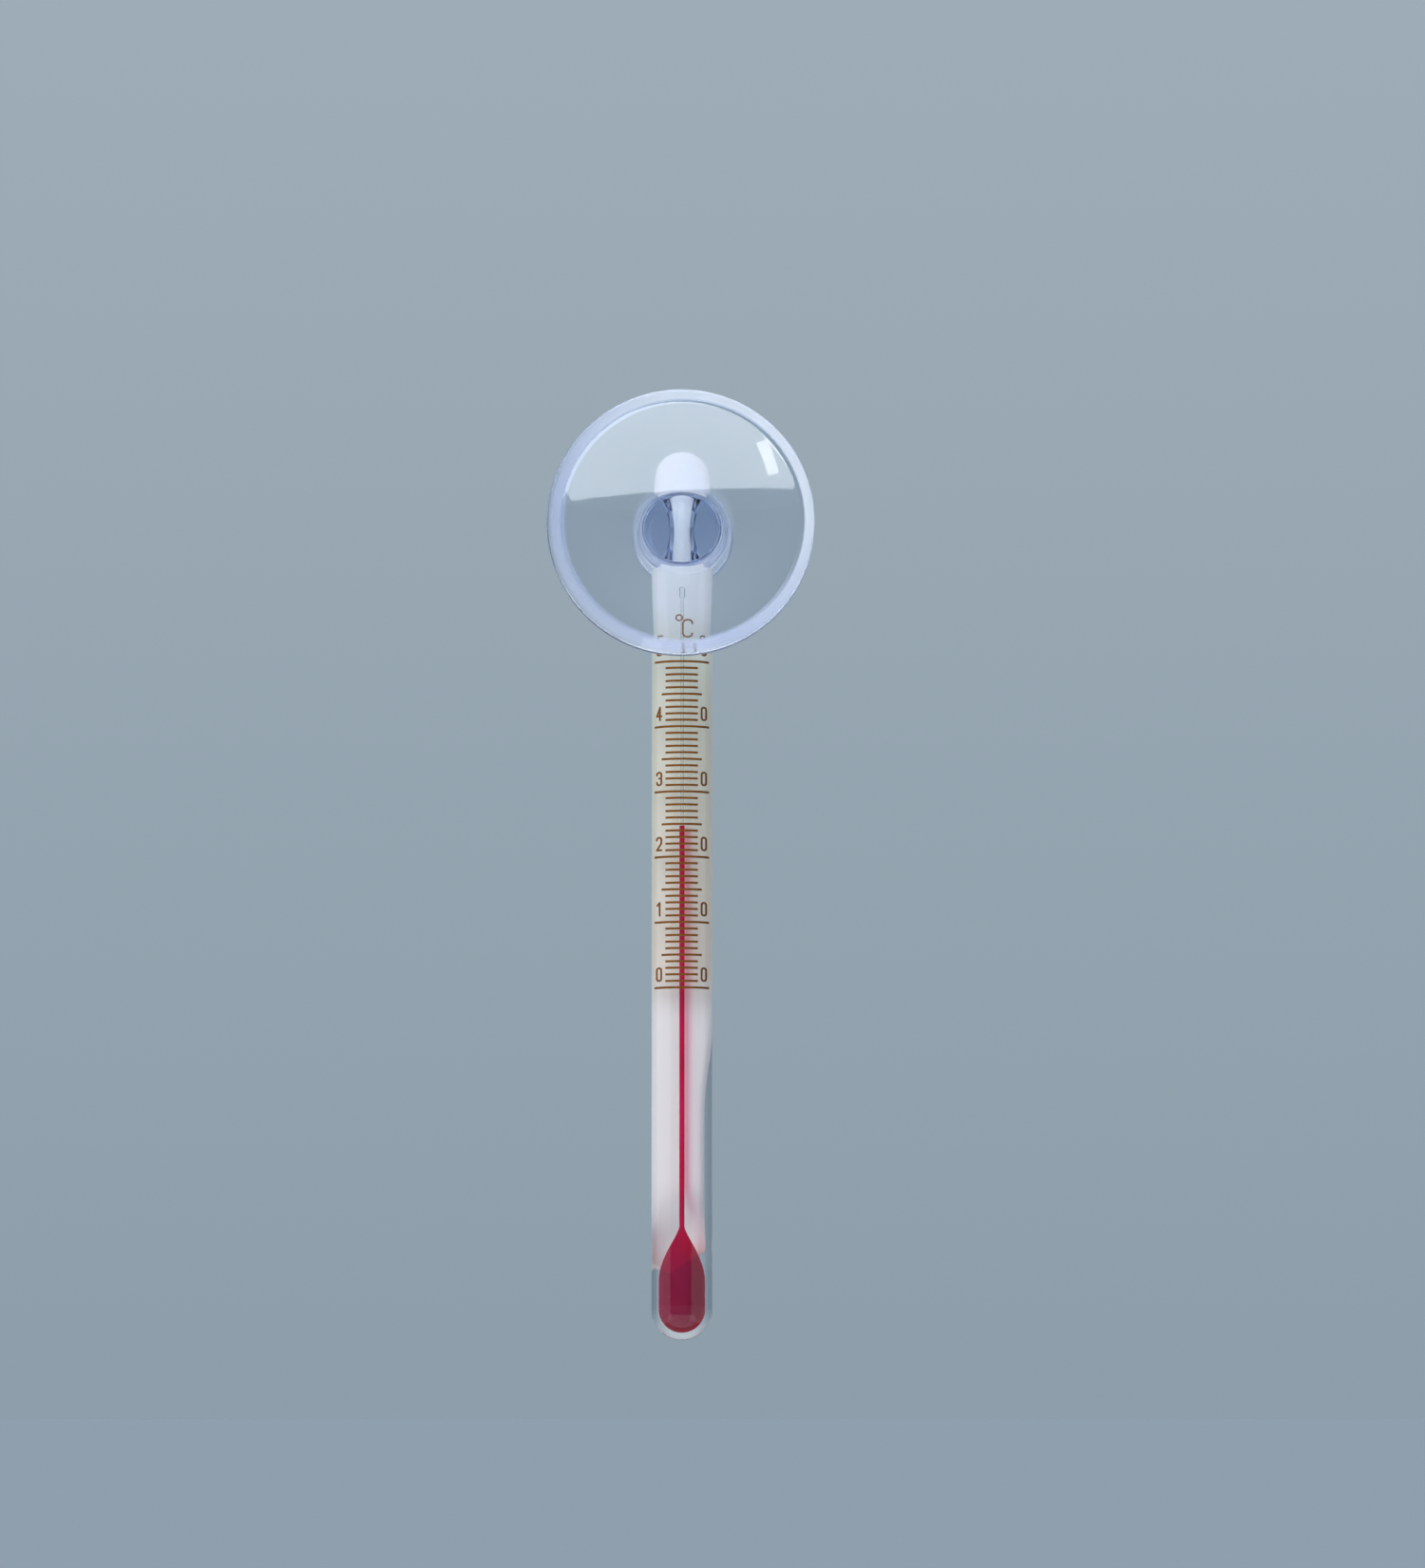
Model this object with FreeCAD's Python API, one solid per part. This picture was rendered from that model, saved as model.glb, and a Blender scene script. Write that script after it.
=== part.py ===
import FreeCAD, Part
import math
import os

# Mini aquarium thermometer: a solid glass stem held by its necked top in a clear suction cup.
# Millimetres, +Z up. The suction cup opens towards -Y and the scale faces -Y too.
# The origin is the centre of the plane on which the cup's lip seals against the tank wall.

# Glass stem. Its axis is vertical, behind the cup, and heights count from the middle of its neck.
STEM_Y = 8.5
STEM_R = 3.0
KNOB_R = 2.7
KNOB_TOP_Z = 8.1
NECK_MIDDLE_R = 1.28
NECK_END_R = 2.2
NECK_END_Z = 3.35
NECK_FILLET_R = 0.2
SHOULDER_R = 0.28
BULB_BOTTOM_Z = -79.4
FUSED_JOINT_Z = -67.5

# Capillary bore, with an expansion chamber at its top end.
BORE_R = 0.20
CHAMBER_R = 0.24
CHAMBER_BOTTOM_Z = -6.8
CHAMBER_TOP_Z = -5.4

# Spirit: a teardrop reservoir that narrows to a throat, and a thread that stands in the bore.
THROAT_Z = -68.4
RESERVOIR_R = 1.55
RESERVOIR_FLARE = [(0.36, -69.1), (0.80, -70.15), (1.30, -71.5)]
RESERVOIR_FULL_Z = -73.6
RESERVOIR_ROUND_Z = BULB_BOTTOM_Z + STEM_R
THREAD_R = 0.17
READING = 25
MOVING_THREAD_LENGTH = 10.0

# White strip drawn into the rod behind the bore. Its radii are shares of the rod's own radius,
# so that it narrows where the rod is drawn down to the neck.
OPAL_INNER_SHARE = 0.72
OPAL_OUTER_SHARE = 0.86
OPAL_HALF_ANGLE = 55.0
OPAL_TOP_Z = 7.0
OPAL_BOTTOM_Z = -66.8

# Celsius scale, printed on the front of the stem. Widths are as seen from the front.
ZERO_Z = -45.08
DEGREE_PITCH = 0.6408
SCALE_TOP = 50
PRINT_HEIGHT = 0.04
LINE_THICKNESS = 0.21
HALF_WIDTH_10 = 2.64
HALF_WIDTH_5 = 1.95
HALF_WIDTH_1 = 1.57
STROKE = 0.19
DIGIT_WIDTH = 0.62
DIGIT_HEIGHT = 1.43
DIGIT_RISE = 0.58
TENS_X = -2.22
ZEROS_X = 2.17
UNIT_STROKE = 0.19
UNIT_C_X = 0.60
UNIT_C_Z = -11.22
UNIT_C_WIDTH = 1.15
UNIT_C_HEIGHT = 2.15
UNIT_RING_X = -0.25
UNIT_RING_Z = -9.05
UNIT_RING_R = 0.31

# Suction cup, turned about the Y axis. Depths count from the sealing plane.
CUP_R = 13.1
LIP_INNER_R = 11.85
LIP_FLAT_R = 12.85
LIP_EDGE_Y = 0.6
LIP_SPLIT_R = 11.0
DISH_APEX_Y = 3.9
DISH_BACK_MIDDLE = (9.0, 2.95)
DISH_BACK_TOP_Y = 4.75
BOSS_FOOT_R = 4.7
BOSS_FOOT_Y = 5.2

# Boss: an oval neck with the cross hole, and a mushroom head.
BOSS_HALF_WIDTH = 3.78
BOSS_HALF_HEIGHT = 3.42
HOLE_CLEARANCE = 0.08
HEAD_R = 4.7
HEAD_EDGE_R = 0.25
HEAD_UNDER_Y = 11.85
HEAD_RIM_Y = 12.6
HEAD_BACK_Y = 13.9


def vector(x, y, z):
    return FreeCAD.Vector(x, y, z)


def line(start, end):
    return Part.LineSegment(start, end).toShape()


def arc(start, middle, end):
    return Part.Arc(start, middle, end).toShape()


def corner_middle(centre_a, centre_b, radius, sign_a, sign_b):
    """The middle point of a quarter circle, given its centre and the way it faces."""
    reach = radius * math.sqrt(0.5)
    return centre_a + sign_a * reach, centre_b + sign_b * reach


# ---------------------------------------------------------------- glass


def stem_point(radius, height):
    return vector(radius, STEM_Y, height)


def turned_about_stem(edges):
    face = Part.Face(Part.Wire(edges))
    return face.revolve(vector(0, STEM_Y, 0), vector(0, 0, 1), 360)


def neck_half(share, side, full_r):
    """The outline's edges from the neck's end to full_r, above it (side 1) or below it (-1)."""
    neck_end_z = NECK_END_Z + inset_of(share)
    fillet_r = share * NECK_FILLET_R
    shoulder_r = share * SHOULDER_R
    neck_end_r = share * NECK_END_R
    shoulder_z = neck_end_z + fillet_r
    fillet_centre_r = neck_end_r + fillet_r
    shoulder_centre_r = full_r - shoulder_r
    shoulder_centre_z = shoulder_z + shoulder_r
    places = [
        (neck_end_r, neck_end_z),
        corner_middle(fillet_centre_r, neck_end_z, fillet_r, -1, 1),
        (fillet_centre_r, shoulder_z),
        (shoulder_centre_r, shoulder_z),
        corner_middle(shoulder_centre_r, shoulder_centre_z, shoulder_r, 1, -1),
        (full_r, shoulder_centre_z),
    ]
    p = [stem_point(radius, side * height) for radius, height in places]
    return [arc(p[0], p[1], p[2]), line(p[2], p[3]), arc(p[3], p[4], p[5])]


def inset_of(share):
    """How far the outline with radii times share lies inside the glass where it runs level."""
    return (1 - share) * STEM_R


def stem_solid(share, bottom_z):
    """The rod from bottom_z to its domed knob, with every radius multiplied by share."""
    side_r = share * STEM_R
    knob_r = share * KNOB_R
    neck_end_r = share * NECK_END_R
    neck_end_z = NECK_END_Z + inset_of(share)
    full_z = neck_end_z + share * (NECK_FILLET_R + SHOULDER_R)
    dome_z = KNOB_TOP_Z - KNOB_R
    dome_middle = corner_middle(0, dome_z, knob_r, 1, 1)
    top = stem_point(0, dome_z + knob_r)
    bottom = stem_point(0, bottom_z)
    edges = [
        line(bottom, stem_point(side_r, bottom_z)),
        line(stem_point(side_r, bottom_z), stem_point(side_r, -full_z)),
        *neck_half(share, -1, side_r),
        arc(
            stem_point(neck_end_r, -neck_end_z),
            stem_point(share * NECK_MIDDLE_R, 0),
            stem_point(neck_end_r, neck_end_z),
        ),
        *neck_half(share, 1, knob_r),
        line(stem_point(knob_r, full_z), stem_point(knob_r, dome_z)),
        arc(stem_point(knob_r, dome_z), stem_point(*dome_middle), top),
        line(top, bottom),
    ]
    return turned_about_stem(Part.__sortEdges__(edges))


def upright_cylinder(radius, bottom_z, top_z):
    return Part.makeCylinder(radius, top_z - bottom_z, stem_point(0, bottom_z))


def sector(inner_r, outer_r, bottom_z, top_z, middle_angle, half_angle):
    """A solid between two radii about the stem, centred on middle_angle (0 is +X, 90 is +Y)."""
    corners = [
        stem_point(inner_r, bottom_z),
        stem_point(outer_r, bottom_z),
        stem_point(outer_r, top_z),
        stem_point(inner_r, top_z),
    ]
    face = Part.Face(Part.makePolygon(corners + corners[:1]))
    axis_point = vector(0, STEM_Y, 0)
    face.rotate(axis_point, vector(0, 0, 1), middle_angle - half_angle)
    return face.revolve(axis_point, vector(0, 0, 1), 2 * half_angle)


def opal_backing():
    outer = stem_solid(OPAL_OUTER_SHARE, OPAL_BOTTOM_Z)
    inner = stem_solid(OPAL_INNER_SHARE, OPAL_BOTTOM_Z - 1)
    wedge = sector(0, 2 * STEM_R, OPAL_BOTTOM_Z, OPAL_TOP_Z, 90, OPAL_HALF_ANGLE)
    return outer.cut(inner).common(wedge)


def stem_glass():
    bore = upright_cylinder(BORE_R, FUSED_JOINT_Z, CHAMBER_TOP_Z - 1)
    chamber = upright_cylinder(CHAMBER_R, CHAMBER_BOTTOM_Z, CHAMBER_TOP_Z)
    ends = [e for e in chamber.Edges if abs(e.Length - 2 * math.pi * CHAMBER_R) < 0.001]
    chamber = chamber.makeFillet(0.8 * CHAMBER_R, ends)
    return stem_solid(1, FUSED_JOINT_Z).cut(bore).cut(chamber).cut(opal_backing())


def reservoir():
    """The teardrop from its throat down to its round end."""
    throat = stem_point(BORE_R, THROAT_Z)
    full = stem_point(RESERVOIR_R, RESERVOIR_FULL_Z)
    straight_end = stem_point(RESERVOIR_R, RESERVOIR_ROUND_Z)
    bottom = stem_point(0, RESERVOIR_ROUND_Z - RESERVOIR_R)
    flare = Part.BSplineCurve()
    flare.interpolate(
        Points=[throat, *[stem_point(*place) for place in RESERVOIR_FLARE], full],
        InitialTangent=vector(0, 0, -1),
        FinalTangent=vector(0, 0, -1),
    )
    bottom_middle = corner_middle(0, RESERVOIR_ROUND_Z, RESERVOIR_R, 1, -1)
    edges = [
        line(stem_point(0, THROAT_Z), throat),
        flare.toShape(),
        line(full, straight_end),
        arc(straight_end, stem_point(*bottom_middle), bottom),
        line(bottom, stem_point(0, THROAT_Z)),
    ]
    return turned_about_stem(edges)


def bulb_glass():
    round_z = BULB_BOTTOM_Z + STEM_R
    bottom_middle = corner_middle(0, round_z, STEM_R, 1, -1)
    edges = [
        line(stem_point(0, FUSED_JOINT_Z), stem_point(STEM_R, FUSED_JOINT_Z)),
        line(stem_point(STEM_R, FUSED_JOINT_Z), stem_point(STEM_R, round_z)),
        arc(
            stem_point(STEM_R, round_z),
            stem_point(*bottom_middle),
            stem_point(0, BULB_BOTTOM_Z),
        ),
        line(stem_point(0, BULB_BOTTOM_Z), stem_point(0, FUSED_JOINT_Z)),
    ]
    bore = upright_cylinder(BORE_R, THROAT_Z, FUSED_JOINT_Z)
    return turned_about_stem(edges).cut(bore).cut(reservoir())


# ---------------------------------------------------------------- print


def height_of(degrees):
    return ZERO_Z + degrees * DEGREE_PITCH


def scale_lines(degrees, half_width):
    half_angle = math.degrees(math.asin(half_width / STEM_R))
    half_line = LINE_THICKNESS / 2
    lines = []
    for degree in degrees:
        middle = height_of(degree)
        lines.append(
            sector(
                STEM_R,
                STEM_R + PRINT_HEIGHT,
                middle - half_line,
                middle + half_line,
                -90,
                half_angle,
            )
        )
    return Part.makeCompound(lines)


def rounded_path(points, closed=False):
    """Edges through (x, z, corner radius) points, with each corner rounded by its radius."""
    count = len(points)
    places = [vector(x, 0, z) for x, z, _ in points]
    arrivals = []
    departures = []
    bends = []
    for i, (place, (_, _, radius)) in enumerate(zip(places, points)):
        is_end = not closed and i in (0, count - 1)
        if is_end or radius == 0:
            arrivals.append(place)
            departures.append(place)
            bends.append(None)
            continue
        back = (places[i - 1] - place).normalize()
        ahead = (places[(i + 1) % count] - place).normalize()
        half_turn = back.getAngle(ahead) / 2
        reach = radius / math.tan(half_turn)
        arrive = place + back * reach
        depart = place + ahead * reach
        inward = (back + ahead).normalize()
        middle = place + inward * (radius / math.sin(half_turn) - radius)
        arrivals.append(arrive)
        departures.append(depart)
        bends.append(arc(arrive, middle, depart))
    edges = []
    for i in range(count):
        if bends[i]:
            edges.append(bends[i])
        following = (i + 1) % count
        has_next = closed or i < count - 1
        if has_next and departures[i].distanceToPoint(arrivals[following]) > 1e-6:
            edges.append(line(departures[i], arrivals[following]))
    return edges


def stroked(points, stroke, closed=False):
    """A flat stroke of even thickness along a rounded path, with round ends."""
    wire = Part.Wire(rounded_path(points, closed))
    if not closed:
        return wire.makeOffset2D(stroke / 2, 0, True, False)
    outside = Part.Face(wire.makeOffset2D(stroke / 2))
    inside = Part.Face(wire.makeOffset2D(-stroke / 2))
    return outside.cut(inside)


def digit_strokes(digit):
    """The centre lines of a narrow digit, as (points, closed) pairs about its bottom centre."""
    c = (DIGIT_WIDTH - STROKE) / 2
    h = DIGIT_HEIGHT - STROKE
    waist = 0.53 * h
    turn = 0.6 * c
    loop = [(-c, 0, c), (c, 0, c), (c, h, c), (-c, h, c)]
    two = [(-c, h - 1.2 * c, 0), (-c, h, c), (c, h, c), (c, waist, c), (-c, 0, 0), (c, 0, 0)]
    upper_bowl = [(-c, h - 1.2 * c, 0), (-c, h, c), (c, h, c), (c, waist, turn), (0, waist, 0)]
    lower_bowl = [(0, waist, 0), (c, waist, turn), (c, 0, c), (-c, 0, c), (-c, 1.2 * c, 0)]
    upright = [(0.35 * c, 0, 0), (0.35 * c, h, 0), (-c, 0.3 * h, 0)]
    crossbar = [(0.35 * c, h, 0), (-c, 0.3 * h, 0), (c, 0.3 * h, 0)]
    five_top = [(c, h, 0), (-0.9 * c, h, 0), (-c, waist, 0)]
    five_bowl = [(-c, waist, 0), (c, waist, c), (c, 0, c), (-c, 0, c), (-c, 1.1 * c, 0)]
    strokes = {
        0: [(loop, True)],
        1: [([(-0.8 * c, 0.78 * h, 0), (0.25 * c, h, 0), (0.25 * c, 0, 0)], False)],
        2: [(two, False)],
        3: [(upper_bowl, False), (lower_bowl, False)],
        4: [(upright, False), (crossbar, False)],
        5: [(five_top, False), (five_bowl, False)],
    }
    return strokes[digit]


def wrapped(flat, x, z):
    """A flat shape in the XZ plane, moved to (x, z) and laid on the front of the stem."""
    shape = flat.copy()
    shape.translate(vector(x, STEM_Y - 1.5 * STEM_R, z))
    prism = shape.extrude(vector(0, 1.4 * STEM_R, 0))
    bottom_z = prism.BoundBox.ZMin - 1
    top_z = prism.BoundBox.ZMax + 1
    sleeve = upright_cylinder(STEM_R + PRINT_HEIGHT, bottom_z, top_z)
    rod = upright_cylinder(STEM_R, bottom_z, top_z)
    return prism.common(sleeve).cut(rod)


def printed_digit(digit, x, z):
    flats = [stroked(points, STROKE, closed) for points, closed in digit_strokes(digit)]
    flat = flats[0]
    for other in flats[1:]:
        flat = flat.fuse(other)
    return wrapped(flat.removeSplitter(), x, z + STROKE / 2)


def numeral(degrees):
    bottom_z = height_of(degrees) + DIGIT_RISE
    tens = printed_digit(degrees // 10, TENS_X, bottom_z)
    zero = printed_digit(0, ZEROS_X, bottom_z)
    return Part.makeCompound(tens.Solids + zero.Solids)


def unit_mark():
    """The degree ring and the letter C."""
    c = (UNIT_C_WIDTH - UNIT_STROKE) / 2
    h = UNIT_C_HEIGHT - UNIT_STROKE
    open_end = 0.85 * c
    letter_path = [
        (c, h - open_end, 0),
        (c, h, 0.8 * c),
        (-c, h, c),
        (-c, 0, c),
        (c, 0, 0.8 * c),
        (c, open_end, 0),
    ]
    letter = wrapped(stroked(letter_path, UNIT_STROKE), UNIT_C_X, UNIT_C_Z)
    r = UNIT_RING_R
    ring_path = [(-r, -r, r), (r, -r, r), (r, r, r), (-r, r, r)]
    ring = wrapped(stroked(ring_path, 0.8 * UNIT_STROKE, True), UNIT_RING_X, UNIT_RING_Z)
    return Part.makeCompound(letter.Solids + ring.Solids)


# ---------------------------------------------------------------- suction cup


def cup_point(radius, depth):
    return vector(radius, depth, 0)


def turned_about_cup(edges):
    face = Part.Face(Part.Wire(edges))
    return face.revolve(vector(0, 0, 0), vector(0, 1, 0), 360)


def cap_middle(rim_r, rim_y, apex_y):
    """A point halfway out on a spherical cap, given its rim and its apex."""
    rise = apex_y - rim_y
    ball_r = (rim_r**2 + rise**2) / (2 * rise)
    half_r = rim_r / 2
    return half_r, apex_y - ball_r + math.sqrt(ball_r**2 - half_r**2)


def cup_skirt():
    """Lip and dish together: a thin bowl that opens at the sealing plane."""
    dish_middle = cap_middle(LIP_INNER_R, 0, DISH_APEX_Y)
    edge_r = CUP_R - LIP_FLAT_R
    edge_middle = corner_middle(LIP_FLAT_R, edge_r, edge_r, 1, -1)
    edges = [
        arc(cup_point(0, DISH_APEX_Y), cup_point(*dish_middle), cup_point(LIP_INNER_R, 0)),
        line(cup_point(LIP_INNER_R, 0), cup_point(LIP_FLAT_R, 0)),
        arc(cup_point(LIP_FLAT_R, 0), cup_point(*edge_middle), cup_point(CUP_R, edge_r)),
        line(cup_point(CUP_R, edge_r), cup_point(CUP_R, LIP_EDGE_Y)),
        arc(
            cup_point(CUP_R, LIP_EDGE_Y),
            cup_point(*DISH_BACK_MIDDLE),
            cup_point(BOSS_FOOT_R, DISH_BACK_TOP_Y),
        ),
        line(cup_point(BOSS_FOOT_R, DISH_BACK_TOP_Y), cup_point(BOSS_FOOT_R, BOSS_FOOT_Y)),
        line(cup_point(BOSS_FOOT_R, BOSS_FOOT_Y), cup_point(0, BOSS_FOOT_Y)),
        line(cup_point(0, BOSS_FOOT_Y), cup_point(0, DISH_APEX_Y)),
    ]
    return turned_about_cup(edges)


def split_cylinder():
    return Part.makeCylinder(LIP_SPLIT_R, CUP_R, vector(0, -1, 0), vector(0, 1, 0))


def boss_head():
    edge_middle = corner_middle(HEAD_R - HEAD_EDGE_R, HEAD_UNDER_Y + HEAD_EDGE_R, HEAD_EDGE_R, 1, -1)
    under_corner = cup_point(HEAD_R - HEAD_EDGE_R, HEAD_UNDER_Y)
    side_corner = cup_point(HEAD_R, HEAD_UNDER_Y + HEAD_EDGE_R)
    edges = [
        line(cup_point(0, HEAD_UNDER_Y), under_corner),
        arc(under_corner, cup_point(*edge_middle), side_corner),
        line(side_corner, cup_point(HEAD_R, HEAD_RIM_Y)),
        arc(
            cup_point(HEAD_R, HEAD_RIM_Y),
            cup_point(*cap_middle(HEAD_R, HEAD_RIM_Y, HEAD_BACK_Y)),
            cup_point(0, HEAD_BACK_Y),
        ),
        line(cup_point(0, HEAD_BACK_Y), cup_point(0, HEAD_UNDER_Y)),
    ]
    return turned_about_cup(edges)


def cross_hole():
    """The hole that follows the glass neck, a little larger all round."""
    end_r = NECK_END_R + HOLE_CLEARANCE
    top_z = NECK_END_Z + 1
    edges = [
        arc(
            stem_point(end_r, -NECK_END_Z),
            stem_point(NECK_MIDDLE_R + HOLE_CLEARANCE, 0),
            stem_point(end_r, NECK_END_Z),
        ),
        line(stem_point(end_r, NECK_END_Z), stem_point(end_r, top_z)),
        line(stem_point(end_r, top_z), stem_point(0, top_z)),
        line(stem_point(0, top_z), stem_point(0, -top_z)),
        line(stem_point(0, -top_z), stem_point(end_r, -top_z)),
        line(stem_point(end_r, -top_z), stem_point(end_r, -NECK_END_Z)),
    ]
    return turned_about_stem(edges)


def cup_boss():
    oval = Part.Ellipse(
        vector(BOSS_HALF_WIDTH, BOSS_FOOT_Y, 0),
        vector(0, BOSS_FOOT_Y, BOSS_HALF_HEIGHT),
        vector(0, BOSS_FOOT_Y, 0),
    )
    length = HEAD_UNDER_Y - BOSS_FOOT_Y + HEAD_EDGE_R
    neck = Part.Face(Part.Wire(oval.toShape())).extrude(vector(0, length, 0))
    return neck.fuse(boss_head()).cut(cross_hole()).removeSplitter()


# ---------------------------------------------------------------- the whole part


def build():
    level_z = height_of(READING)
    moving_bottom_z = level_z - MOVING_THREAD_LENGTH
    every_degree = range(SCALE_TOP + 1)
    tens = [d for d in every_degree if d % 10 == 0]
    fives = [d for d in every_degree if d % 10 == 5]
    ones = [d for d in every_degree if d % 5 != 0]
    nodes = {
        "cup_lip": cup_skirt().cut(split_cylinder()),
        "cup_dish": cup_skirt().common(split_cylinder()),
        "cup_boss": cup_boss(),
        "stem_glass": stem_glass(),
        "bulb_glass": bulb_glass(),
        "opal_backing": opal_backing(),
        "spirit_reservoir": reservoir(),
        "spirit_thread": upright_cylinder(THREAD_R, THROAT_Z, moving_bottom_z),
        "spirit_thread_top": upright_cylinder(THREAD_R, moving_bottom_z, level_z),
        "marks_10_degree": scale_lines(tens, HALF_WIDTH_10),
        "marks_5_degree": scale_lines(fives, HALF_WIDTH_5),
        "marks_1_degree": scale_lines(ones, HALF_WIDTH_1),
        "unit_mark": unit_mark(),
    }
    for degrees in tens:
        nodes[f"numeral_{degrees}"] = numeral(degrees)
    return nodes


os.makedirs("parts", exist_ok=True)
for node, shape in build().items():
    shape.exportStep(f"parts/{node}.step")
    print(f"{node}: {len(shape.Solids)} solids, {shape.Volume:.3f} mm3, valid {shape.isValid()}")
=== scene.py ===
import math

import bmesh
import bpy
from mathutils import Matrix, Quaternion, Vector, noise


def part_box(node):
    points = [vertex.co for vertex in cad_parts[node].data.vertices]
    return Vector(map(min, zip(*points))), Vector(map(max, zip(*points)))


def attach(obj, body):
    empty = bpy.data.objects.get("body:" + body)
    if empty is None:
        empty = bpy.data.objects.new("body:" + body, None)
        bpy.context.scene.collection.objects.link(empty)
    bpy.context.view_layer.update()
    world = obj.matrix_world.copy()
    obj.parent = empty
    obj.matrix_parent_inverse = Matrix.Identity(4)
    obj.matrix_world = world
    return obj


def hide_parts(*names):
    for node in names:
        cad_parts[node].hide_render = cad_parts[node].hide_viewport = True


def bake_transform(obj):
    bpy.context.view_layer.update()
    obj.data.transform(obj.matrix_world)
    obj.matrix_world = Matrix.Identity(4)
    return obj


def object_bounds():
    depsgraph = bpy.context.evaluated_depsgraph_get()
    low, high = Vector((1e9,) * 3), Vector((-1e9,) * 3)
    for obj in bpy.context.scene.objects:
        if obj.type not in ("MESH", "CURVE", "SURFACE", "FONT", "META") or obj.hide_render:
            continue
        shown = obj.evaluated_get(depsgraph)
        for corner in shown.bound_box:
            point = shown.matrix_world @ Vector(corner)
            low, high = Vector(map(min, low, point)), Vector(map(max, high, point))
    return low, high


# The looks of the aquarium thermometer: fused glass with a spirit column inside, a fired scale,
# and one soft clear cup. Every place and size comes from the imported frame, in metres.

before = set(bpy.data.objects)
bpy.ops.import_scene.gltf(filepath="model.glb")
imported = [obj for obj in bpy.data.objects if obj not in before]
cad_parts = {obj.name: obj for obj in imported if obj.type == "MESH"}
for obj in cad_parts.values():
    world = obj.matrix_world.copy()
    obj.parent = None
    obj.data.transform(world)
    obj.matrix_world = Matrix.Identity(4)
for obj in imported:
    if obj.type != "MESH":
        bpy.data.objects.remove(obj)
cad_low, cad_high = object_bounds()
MM = 0.001


# ---------------------------------------------------------------- sizes read from the frame

stem_low, stem_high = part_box("stem_glass")
bulb_low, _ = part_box("bulb_glass")
STEM_Y = (stem_low.y + stem_high.y) / 2
STEM_R = (stem_high.x - stem_low.x) / 2
KNOB_TOP_Z = stem_high.z
BULB_BOTTOM_Z = bulb_low.z

reservoir_low, reservoir_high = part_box("spirit_reservoir")
thread_low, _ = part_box("spirit_thread")
thread_top_low, thread_top_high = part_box("spirit_thread_top")
RESERVOIR_R = (reservoir_high.x - reservoir_low.x) / 2
RESERVOIR_BOTTOM_Z = reservoir_low.z
THROAT_Z = thread_low.z
LEVEL_Z = thread_top_high.z
THREAD_R = (thread_top_high.x - thread_top_low.x) / 2

lip_low, lip_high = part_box("cup_lip")
dish_low, dish_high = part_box("cup_dish")
boss_low, boss_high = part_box("cup_boss")
CUP_R = min(lip_high.x, lip_high.z)
BOSS_FOOT_Y = boss_low.y
BOSS_BACK_Y = boss_high.y
BOSS_HEAD_R = boss_high.x

# The drawn neck of the stem and the hole that grips it, as the CAD parts have them.
NECK_MIDDLE_R = 1.28 * MM
NECK_END_R = 2.20 * MM
NECK_END_Z = 3.35 * MM
NECK_FILLET_R = 0.20 * MM
SHOULDER_R = 0.28 * MM
KNOB_R = 2.70 * MM
GLASS_UNEVENNESS = 0.006
GLASS_WAVE_LENGTH = 14 * MM
HOLE_CLEARANCE = 0.08 * MM
FULL_STEM_Z = NECK_END_Z + NECK_FILLET_R + SHOULDER_R

# The bore ends in a small chamber. The reservoir's teardrop is full a little below the throat.
EMPTY_BORE_R = 0.10 * MM
CHAMBER_R = 0.20 * MM
CHAMBER_LOW_Z = -6.7 * MM
CHAMBER_TOP_Z = -5.5 * MM
RESERVOIR_FULL_Z = THROAT_Z - 5.2 * MM
MENISCUS = 0.12 * MM

# The white ribbon that was drawn into the rod just behind its bore. It is narrower to the right
# towards its lower end, and there it lies round the back of the reservoir. In the neck it takes
# a little more of the rod's width than elsewhere.
RIBBON_HALF_WIDTH = 2.30 * MM
RIBBON_DEPTH = 0.42 * MM
RIBBON_THICKNESS = 0.32 * MM
RIBBON_BOW = 0.20
RIBBON_TOP_Z = KNOB_TOP_Z - 0.55 * MM
RIBBON_NECK_SWELL = 0.147
RIBBON_NARROWING_Z = (-58 * MM, -42 * MM)
RIBBON_LOW_RIGHT_SHARE = 0.54
RIBBON_WRAP_Z = (THROAT_Z - 2.2 * MM, THROAT_Z + 4.5 * MM)
RIBBON_END_Z = THROAT_Z - 4.4 * MM
RIBBON_END_ROUNDING = 2.4 * MM
RIBBON_END_R = 2.05 * MM
RIBBON_END_HALF_ANGLE = math.radians(41)
RIBBON_END_TURN = math.radians(-17)

# The cup's wall: a shallow bowl with a flat lip, an oval boss and a mushroom head.
LIP_INNER_R = 11.85 * MM
LIP_FLAT_R = 12.85 * MM
LIP_EDGE_Y = 0.60 * MM
LIP_BACK_R = 0.20 * MM
DISH_APEX_Y = 3.90 * MM
DISH_BACK_MIDDLE = (9.0 * MM, 2.95 * MM)
DISH_BACK_TOP = (4.7 * MM, 4.75 * MM)
BOSS_HALF_WIDTH = 3.78 * MM
BOSS_HALF_HEIGHT = 3.42 * MM
FOOT_FILLET_R = 0.75 * MM
HEAD_FILLET_R = 0.35 * MM
HEAD_UNDER_Y = 11.85 * MM
HEAD_EDGE_R = 0.30 * MM
HEAD_RIM_Y = 12.60 * MM


# ---------------------------------------------------------------- outlines and surfaces


def arc_points(centre, radius, start_deg, end_deg, steps):
    """Points on an arc, both ends included. 0 degrees points outwards and 90 degrees along the axis."""
    points = []
    for i in range(steps + 1):
        angle = math.radians(start_deg + (end_deg - start_deg) * i / steps)
        points.append((centre[0] + radius * math.cos(angle), centre[1] + radius * math.sin(angle)))
    return points


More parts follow.
